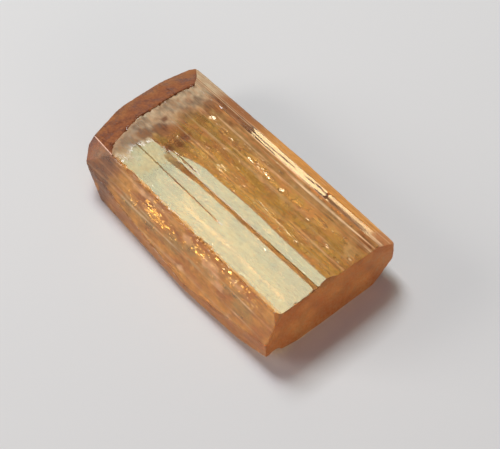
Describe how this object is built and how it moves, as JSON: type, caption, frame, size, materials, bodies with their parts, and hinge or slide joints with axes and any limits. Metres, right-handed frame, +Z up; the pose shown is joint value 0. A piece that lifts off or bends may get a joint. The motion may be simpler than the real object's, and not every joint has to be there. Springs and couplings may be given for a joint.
{
  "type": "topaz crystal",
  "caption": "Flattened see-through golden-orange topaz prism, with blunt pyramid faces at one end and a flat cleavage break at the other.",
  "frame": {"origin": "middle of the crystal's outline in plan, in the plane that it rests on", "axes": "+X along the crystal's length (its c-axis) towards the broken end, +Y across it towards the bevelled side, +Z up through its thickness"},
  "size_m": [0.027, 0.0152, 0.005],
  "materials": {
    "golden_topaz": "clear golden-orange crystal, bright on the top, finely striated along its length, matte on the broken end"
  },
  "bodies": {
    "root": {"topaz_crystal": "golden_topaz"}
  },
  "joints": []
}
